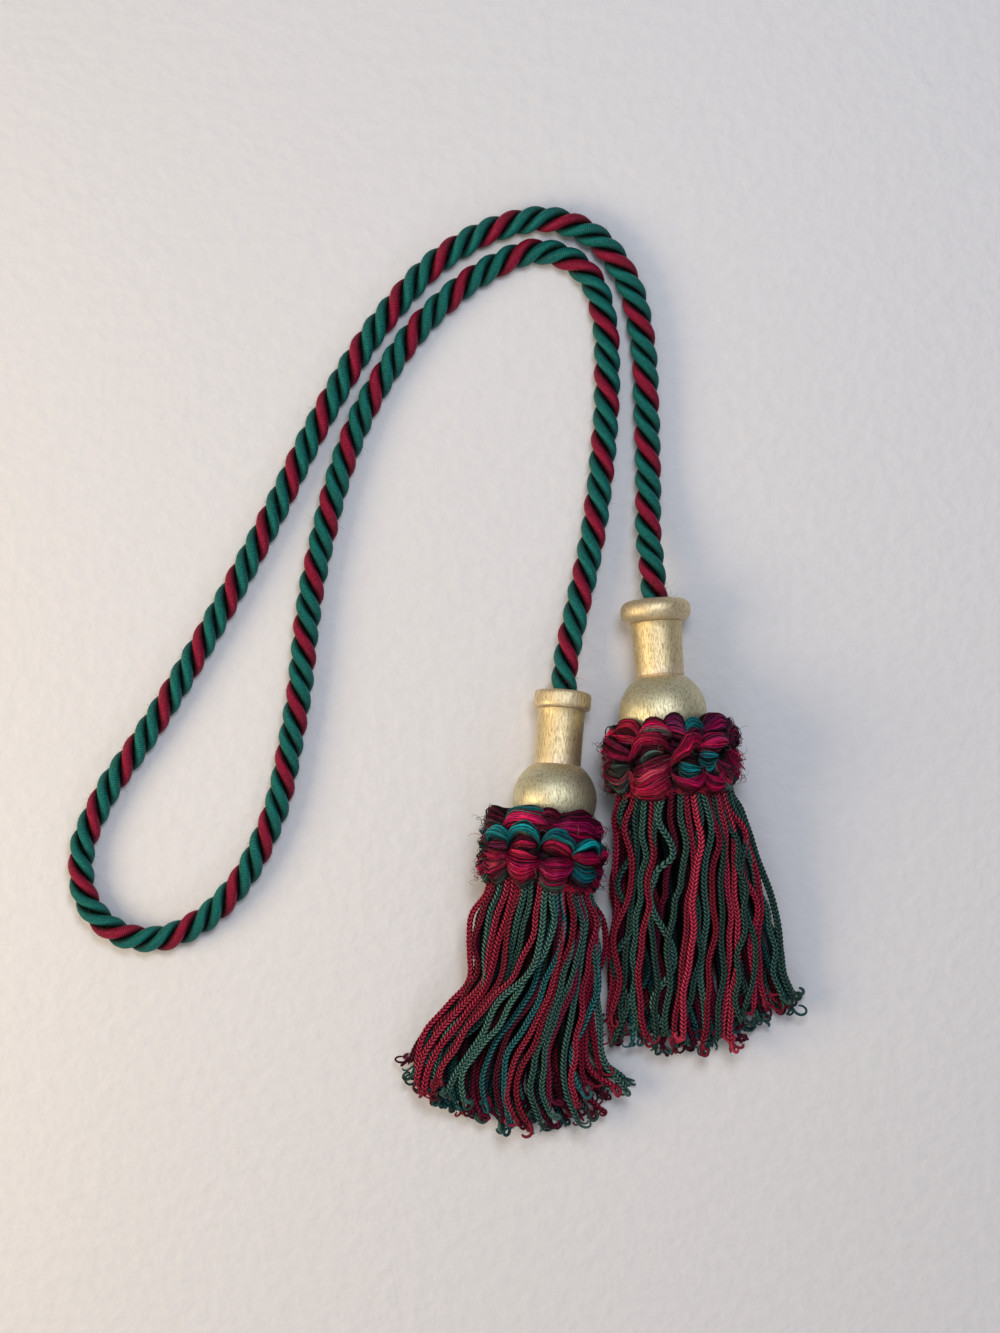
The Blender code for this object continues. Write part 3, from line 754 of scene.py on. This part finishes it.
def add_undercoat(pile, tassel, rng):
    """Bundles of floss that cross each other on the band, under the puffs, tinted dark as painted
    shade.
    """
    t = np.linspace(0.0, 1.0, 9)
    for k in range(UNDERCOAT):
        start, width = rng.uniform(-140.0, 100.0), rng.uniform(22.0, 45.0)
        s = rng.uniform(tassel.ruff_start + 0.004, tassel.ruff_end - 0.004)
        s = s + rng.normal(0.0, 0.005) * t
        s = np.clip(s, tassel.ruff_start + 0.003, tassel.ruff_end - 0.003)
        path = ruff_point(tassel, start + width * t, s,
                          BAND_INSIDE - rng.uniform(0.0002, 0.0018) * np.sin(np.pi * t))
        colour = np.array(COLOURS[UNDER_COLOURS[k % len(UNDER_COLOURS)]])
        pile.add(round_tube(raised(path, 0.0005), BUNDLE_RADIUS, 4), colour * rng.uniform(0.4, 1.1))


def add_band(pile, tassel):
    """The band that the puffs are sewn on, a closed ring with a rounded outside."""
    wall = np.linspace(tassel.ruff_start + 0.002, tassel.ruff_end - 0.002, 9)
    turns = np.arange(0.0, 360.0, 5.0)[:, None]
    belly = np.sqrt(clamped(1.0 - np.linspace(-1.0, 1.0, 9) ** 4))
    outer = ruff_point(tassel, turns, wall, BAND_INSIDE + BAND_ROUND * (1.0 - belly))
    inner = ruff_point(tassel, turns, wall[::-1], BAND_INSIDE + BAND_THICKNESS)
    pile.add(raised(np.concatenate([outer, inner], axis=1)), COLOURS["dark"], ring_closed=True)


def add_frizz(pile, tassel, rng):
    first, last, place = FRIZZ[tassel.name]
    turns = rng.uniform(first, last, FRIZZ_FIBRES)
    s = place + rng.normal(0.0, 0.0006, FRIZZ_FIBRES)
    roots = ruff_point(tassel, turns, s, FRIZZ_ROOTS + rng.normal(0.0, 0.0008, FRIZZ_FIBRES))
    tints = [np.array(COLOURS["red"]) * rng.uniform(0.5, 1.5) for _ in range(FRIZZ_FIBRES)]
    ways = rng.normal(size=(FRIZZ_FIBRES, 3)) + 0.5 * Z
    add_hairs(pile, roots, ways, rng.uniform(0.002, 0.0045, FRIZZ_FIBRES), 0.00016, tints, rng,
              steps=7, curl=2.6)


def add_wisps(pile, tassel, rng):
    """Loose hairs that stand off a ruff, about half of them along its left side."""
    count = tassel.untidy.wisps
    turns = np.where(rng.uniform(size=count) < 0.5, rng.normal(-74.0, 10.0, count),
                     rng.uniform(-90.0, 95.0, count))
    s = rng.uniform(tassel.ruff_start + 0.006, tassel.ruff_end - 0.004, count)
    roots = ruff_point(tassel, turns, s, WISP_ROOTS)
    tints = [COLOURS[WISP_COLOURS[k % len(WISP_COLOURS)]] for k in range(count)]
    ways = ruff_outward(tassel, turns) + 0.8 * rng.normal(size=(count, 3))
    add_hairs(pile, roots, ways, rng.uniform(0.003, 0.009, count), 0.00013, tints, rng,
              steps=11, curl=3.2)


def build_ruff(tassel, finish):
    rng = np.random.default_rng(tassel.seed)
    pile = Pile()
    add_band(pile, tassel)
    add_undercoat(pile, tassel, rng)
    for row in PUFFS[tassel.name]:
        puff = Puff(*row)
        lengths = {key: getattr(puff, key) * MM for key in ("along", "near", "reach", "out", "rise")}
        add_puff(pile, tassel, puff._replace(slant=rng.normal(), **lengths), rng)
    add_frizz(pile, tassel, rng)
    add_wisps(pile, tassel, rng)
    ruff = pile.make("floss_" + tassel.name, finish, "floss")
    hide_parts("ruff_" + tassel.name)


# Skirts. Stations down each skirt, in millimetres: left x, left y, right x, right y, and how far
# its middle hangs past its edges
RIGHT_SKIRT = [
    (5, 20, 59.5, 25, 0),
    (6.2, 6, 64, 15, 2),
    (6, -12, 68, -2, 4),
    (5, -30, 73.5, -18.7, 6),
    (4, -48, 80, -33.5, 8),
    (3, -63.7, 83.5, -48, 9),
    (4, -78, 89, -61, 10),
]
LEFT_SKIRT = [
    (-57, -21.5, -2, -22, 0),
    (-58.5, -33.5, -1.5, -33.5, 2),
    (-57, -50.5, -3, -50.5, 4),
    (-64.5, -62.5, -5, -64, 8),
    (-77, -74, -4.5, -76, 13),
    (-85, -84, 1, -88, 18),
    (-89, -91, 14, -99, 22),
]
SKIRTS = {"left": LEFT_SKIRT, "right": RIGHT_SKIRT}
# Heights of the lowest and the highest strands at each station, in millimetres
PILE_HEIGHTS = [(3, 38), (0.8, 34.5), (0, 29.5), (0, 25), (0, 21.5), (0, 18.5), (0, 16)]

# Locks of strands on top of each skirt. root, middle and end are places across it at its first,
# fourth and last stations, in hundredths from its middle to an edge, and lift, in millimetres,
# raises a lock over the others.
Lock = namedtuple("Lock", "colour strands root middle end lift", defaults=[0.0])
LEFT_LOCKS = [
    ("red", 2, -97, -100, -86),
    ("green", 1, -78, -80, -74, 1),
    ("red", 3, -52, -84, -80, 1.2),
    ("green", 2, -24, -66, -88),
    ("red", 1, 0, -70, -70, 4),
    ("green", 2, 19, -47, -52, 3),
    ("teal", 1, 30, -24, -30, 0.8),
    ("wine", 1, 36, -10, -17),
    ("teal", 1, 42, 2, -5),
    ("red", 2, 49, 13, 8, 2.2),
    ("green", 2, 66, 40, 24, 1),
    ("wine", 1, 74, 52, 36),
    ("green", 1, 78, 68, 54, 2.2),
    ("red", 1, 90, 86, 50, 1),
    ("teal", 1, 96, 94, 64, 0.5),
    ("red", 2, 98, 100, 80),
    ("green", 1, 100, 104, 95, 1.2),
]
RIGHT_LOCKS = [
    ("red", 1, -100, -100, -98),
    ("green", 1, -87, -86, -88),
    ("red", 1, -75, -92, -102, 1.2),
    ("green", 2, -61, -76, -80),
    ("red", 1, -43, -68, -62, 2),
    ("green", 2, -28, -50, -50, 0.4),
    ("wine", 1, -8, -38, -44),
    ("green", 1, 8, -25, -38, 2.2),
    ("red", 2, 24, -2, -30, 1.6),
    ("green", 2, 42, 12, -14, 0.4),
    ("red", 1, 56, 28, 2, 1.6),
    ("green", 1, 66, 40, 12),
    ("red", 2, 78, 56, 22, 0.6),
    ("green", 2, 92, 76, 30, 2.4),
    ("red", 2, 96, 84, 56),
    ("green", 2, 102, 102, 86, 1.2),
]
LOCKS = {"left": LEFT_LOCKS, "right": RIGHT_LOCKS}
# Places where a skirt parts: x, y, how far it opens, and how long the parting is
PARTINGS = {
    "left": [(-0.021, -0.105, 0.0018, 0.01)],
    "right": [(0.026, -0.007, 0.0026, 0.008), (0.0318, -0.0045, 0.0024, 0.0075)],
}
LOWER_LAYERS = (15, 16, 16, 16, 15)  # strands in each layer below the locks, from the table up
SWEEPS = {"left": (0.10, 0.02, -0.10, -0.22, -0.34), "right": (0.0, 0.0, 0.0, 0.02, 0.04)}

# A chainette strand: a flattened chain of stitches that make a V on its face
STRAND_HALF_WIDTH = 0.00162
STRAND_HALF_HEIGHT = 0.00128
STITCH = 0.0019  # length of one stitch
STITCH_LEAN = 0.0017  # how far a stitch's middle is ahead of its ends
STRAND_SIDES = 8  # of a strand on top
LOWER_SIDES = 6  # of those below
ROOTED = 0.003  # length of a strand inside the heading
RIPPLE = 0.0004  # how far short waves bend a strand

# The yarn of a cut end: how far a curl and a stub turn, in degrees, and how many of them are curls
CURL_TURN = (150.0, 330.0)
STUB_TURN = (10.0, 80.0)
CURLED = 0.60

# A strand's course. root, middle and end are a lock's, but 1 is an edge. order is its height in the
# pile, from 0 to 1 on top, over is what it has of its last stretch beyond the last station, and wave
# bends it.
Course = namedtuple("Course", "root middle end order lift over wave colour")


def parted(points, tassel, order):
    """Pushes a strand of the upper layers aside from the places where a skirt parts."""
    if order < 0.6:
        return points
    for x, y, width, length in PARTINGS[tassel.name]:
        beside = points[:, 0] - x
        side = math.copysign(1.0, beside[np.argmin(np.abs(points[:, 1] - y))])
        pushed = side * np.hypot(np.maximum(side * beside, 0.0), width)
        points[:, 0] += (pushed - beside) * np.exp(-((points[:, 1] - y) / length) ** 4)
    return points


def strand_points(tassel, course):
    """Points down a strand, from its root in the heading."""
    stations = np.array(SKIRTS[tassel.name]) * MM
    low, high = np.array(PILE_HEIGHTS).T * MM
    t = np.linspace(0.0, 1.0, len(stations))
    early = clamped((t - 0.03) / 0.47)
    late = clamped((t - 0.5) / 0.5)
    aside = course.root + (course.middle - course.root) * (3 * early**2 - 2 * early**3)
    aside = aside + (course.end - course.middle) * late
    aside = aside + course.wave * np.sin(np.pi * t) * np.sin(2 * np.pi * t * 0.8 + 40.0 * course.wave)
    share = (aside[:, None] + 1.0) / 2
    points = stations[:, 0:2] * (1.0 - share) + stations[:, 2:4] * share
    flat = clamped(1.0 - aside**2)
    points[:, 1] -= stations[:, 4] * flat
    order, low, high = course.order, low + STRAND_HALF_HEIGHT, high - STRAND_HALF_HEIGHT
    rounded = (low + high) / 2 + (2 * order - 1) * np.sqrt(flat) * (high - low) / 2
    settled = low + order * (high - low) * np.sqrt(np.clip(1.0 - 0.55 * aside**2, 0.2, 1.0))
    share = clamped(t / 0.4)
    height = rounded * (1.0 - share) + settled * share + course.lift * clamped(t / 0.2)
    points = np.column_stack([points, np.maximum(height, ON_TABLE + STRAND_HALF_HEIGHT)])
    points[-1] = points[-2] + (points[-1] - points[-2]) * (1.0 + course.over)
    inside = np.clip(course.root, -1.0, 1.0)
    across = tassel.ruff_shift + 0.95 * tassel.heading * inside
    upward = 0.92 * HEADING_HALF_HEIGHT * (2 * order - 1) * math.sqrt(1.0 - 0.98 * inside**2)
    roots = [(across, float(level(tassel, s)) + upward, s)
             for s in (HEADING_END - ROOTED, tassel.ruff_end)]
    return np.vstack([placed(tassel, roots), points])


def ripple(run, slowest, fastest, rng):
    """A wave along a strand, of a random length. slowest and fastest are in radians a metre."""
    return np.sin(run * rng.uniform(slowest, fastest) + rng.uniform(0.0, ANY_PHASE))


def add_strand(pile, tassel, course, rng):
    """A chain of stitches along a course, thinned where it ends. Its map counts stitches. Its tint
    carries painted shade on its sides and underside, and more inside the pile, least at the skirt's
    edges and near its end."""
    points = strand_points(tassel, course)
    length = np.sum(np.linalg.norm(np.diff(points, axis=0), axis=1))
    path = smooth_curve(points, count=2 * round(length / STITCH) + 1)
    n = len(path)
    run = np.linspace(0.0, length, n)
    sway = rng.normal(0.0, tassel.untidy.sway) * ripple(run, 70.0, 190.0, rng)
    sway = sway + rng.normal(0.0, RIPPLE) * ripple(run, 200.0, 350.0, rng)
    sway = clamped(run / 0.018 - 0.25) * sway
    path = parted(path + directions(path, Z)[0] * sway[:, None], tassel, course.order)
    stitch = np.arange(n)
    sides = STRAND_SIDES if course.order == 1.0 else LOWER_SIDES
    turn = 2 * np.pi * (np.arange(sides) + (0.0 if sides == STRAND_SIDES else 0.5)) / sides
    ridge = np.where(stitch % 2, 0.82, 1.04) * rng.uniform(0.90, 1.06)
    ridge = (ridge * np.interp(stitch, [0, 2, n - 4, n - 1], [0.6, 1.0, 1.0, 0.5]))[:, None]
    crease = np.where(np.abs(np.sin(turn)) > 0.9, 0.82, 1.0)
    across = STRAND_HALF_WIDTH * ridge * np.cos(turn)
    above = STRAND_HALF_HEIGHT * ridge * np.sin(turn) * crease
    roll = (rng.normal(0.0, 0.18) + 0.28 * ripple(run, 15.0, 50.0, rng))[:, None]
    rings = tube(path, Z, across * np.cos(roll) - above * np.sin(roll),
                 across * np.sin(roll) + above * np.cos(roll), STITCH_LEAN * (1 - np.abs(np.cos(turn))))
    tint = np.array(COLOURS[course.colour]) * rng.uniform(0.50, 1.40)
    tint = tint + (tint.mean() - tint) * rng.uniform(0.0, 0.10)
    # Painted shade: darker on the strand's sides and underside than on its top
    shade = dimmed(0.04, clamped(-0.02 + 1.3 * np.sin(turn)))
    # Painted shade inside the pile: lower layers darker, less so at the skirt's edges and towards the
    # strand's end
    inside = dimmed(0.05, course.order**8)
    inside = dimmed(inside, clamped((abs(course.root) - 0.75) / 0.2))
    inside = dimmed(inside, clamped((stitch / n - 0.70) / 0.22))
    pile.add(raised(rings), tint * shade[:, None] * inside[:, None, None], run=stitch / 2)
    return path, tint


def add_ends(pile, path, tint, rng):
    """The yarn of a cut end: short stubs and curls."""
    way = unit(path[-1] - path[-3])
    for k in range(rng.integers(2, 5)):
        tilt = rng.normal(0.0, 0.6)
        side = unit(np.cross(way, Z)) * math.cos(tilt) + Z * math.sin(tilt)
        side = side * rng.choice([-1.0, 1.0])
        curled = rng.uniform() < CURLED
        lead = rng.uniform(0.0003, 0.0042)
        radius = rng.uniform(0.001, 0.0026)
        swing = rng.uniform(*(CURL_TURN if curled else STUB_TURN))
        turn = np.linspace(0.0, math.radians(swing), 11)[:, None]
        heading = unit(way + 0.55 * side * rng.normal())
        start = path[-1] - way * 0.001 + side * 0.0004 * rng.normal()
        arc = start + heading * lead + radius * (heading * np.sin(turn) + side * (1 - np.cos(turn)))
        taper = np.interp(np.arange(12), [0, 2, 10, 11], [1.1, 1.0, 0.8, 0.55])
        thick = rng.uniform(0.0005, 0.0009) * taper
        yarn = raised(np.vstack([start, arc]), thick)
        pile.add(round_tube(yarn, thick, 5), tint * rng.uniform(0.30, 0.80))


def lower_courses(tassel, rng):
    """The layers below the locks, in which one to three strands side by side share a colour."""
    for layer, count in enumerate(LOWER_LAYERS):
        order, sweep = layer / len(LOWER_LAYERS), SWEEPS[tassel.name][layer]
        colour, left_over = "green", 0
        for i in range(count):
            if left_over == 0:
                left_over = rng.integers(1, 4)
                others = ["red", "wine"] if colour in ("green", "teal") else ["green", "teal"]
                colour = rng.choice(others)
            left_over -= 1
            root = (2 * i + 1) / count - 1.0
            bend = sweep * (1.0 - root**2)
            middle = root + bend * 1.4 + rng.normal(0.0, 0.03)
            end = root + bend + rng.normal(0.0, 0.05)
            yield Course(root * 0.95, middle, end, order, 0.0, rng.uniform(-0.85, 0.15),
                         rng.normal(0.0, 0.03), colour)


def lock_courses(tassel, rng):
    """The locks' strands, side by side."""
    for k, row in enumerate(LOCKS[tassel.name]):
        lock = Lock(*row)
        over, wave = rng.uniform(-0.80, 0.05), rng.normal(0.0, 0.055)
        for i in range(lock.strands):
            place = i - (lock.strands - 1) / 2
            yield Course(lock.root / 100 + 0.125 * place,
                         lock.middle / 100 + 0.115 * place + rng.normal(0.0, 0.012),
                         lock.end / 100 + 0.105 * place + rng.normal(0.0, 0.02), 1.0,
                         lock.lift * MM + 0.0008 * (k % 3) + 0.0005 * rng.normal(),
                         over + 0.12 * rng.normal(), wave + 0.008 * rng.normal(), lock.colour)


def build_skirt(tassel, finish, cut_finish):
    rng = np.random.default_rng(tassel.seed + 20)
    strands, ends = Pile(), Pile()
    for course in [*lower_courses(tassel, rng), *lock_courses(tassel, rng)]:
        path, tint = add_strand(strands, tassel, course, rng)
        add_ends(ends, path, tint, rng)
    skirt = strands.make("strands_" + tassel.name, finish, "strands")
    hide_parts("skirt_" + tassel.name)
    ends.make("curled_ends_" + tassel.name, cut_finish, "strands")


# Stage
LIT_PLACE = (-0.03, 0.08, 0.0)  # what the lights are aimed at
# The studio's dark surroundings, from the horizon up
SURROUNDINGS = ((0.0, (0.03, 0.03, 0.035)), (0.35, (0.11, 0.115, 0.12)), (0.95, (0.40, 0.41, 0.44)))


def build_camera():
    camera = new_object("camera", bpy.data.cameras.new("camera"))
    camera.location = (*VIEW_MIDDLE, CAMERA_HEIGHT)
    camera.data.sensor_fit = "VERTICAL"
    camera.data.sensor_height = SENSOR
    camera.data.lens = SENSOR * (CAMERA_HEIGHT - LYING) / VIEW_HEIGHT
    bpy.context.scene.camera = camera


def add_light(name, place, size, power, colour):
    light = new_object(name, bpy.data.lights.new(name, "AREA"))
    light.data.shape = "DISK"
    light.data.size = size
    light.data.energy = power
    light.data.color = colour
    light.location = place
    light.rotation_euler = (Vector(place) - Vector(LIT_PLACE)).to_track_quat("Z", "Y").to_euler()


def build_stage():
    bpy.ops.mesh.primitive_plane_add(size=30.0)
    floor = bpy.context.object
    floor.name = "floor"
    floor.data.materials.append(floor_material())
    world = bpy.data.worlds.new("studio")
    bpy.context.scene.world = world
    world.use_nodes = True
    tree = world.node_tree
    climb = node(tree, "SeparateXYZ", {0: node(tree, "TexCoord")}).node.outputs["Z"]
    tree.links.new(ramp(tree, climb, *SURROUNDINGS), tree.nodes["Background"].inputs["Color"])
    add_light("window", (-0.85, -0.05, 0.55), size=0.60, power=6.3, colour=(1.0, 0.79, 0.49))
    add_light("sky", (0.10, 0.50, 1.20), size=0.45, power=6.1, colour=(0.88, 0.94, 1.0))
    add_light("low", (0.10, -0.90, 0.70), size=0.40, power=1.2, colour=(1.0, 0.95, 0.88))
    bpy.context.scene.view_settings.view_transform = "Standard"


build_camera()
wound_yarn = yarn_material("wound_yarn", roughness=0.42, gloss=0.15, uneven=0.30, grain=1100.0,
                           depth=0.0001, winding=0.72)
gilt = gilt_material()
floss = yarn_material("floss", roughness=0.27, gloss=0.20, uneven=0.15, grain=700.0, depth=0.00002)
chainette = yarn_material("chainette", roughness=0.40, gloss=0.14, uneven=0.30, grain=2600.0,
                          depth=0.0002, stitched=True)
cut_yarn = yarn_material("cut_yarn", roughness=0.45, gloss=0.15, uneven=0.30, grain=2600.0,
                         depth=0.0001)
build_cord(wound_yarn)
for tassel in TASSELS:
    build_head(tassel, gilt)
    build_ruff(tassel, floss)
    build_skirt(tassel, chainette, cut_yarn)
build_stage()
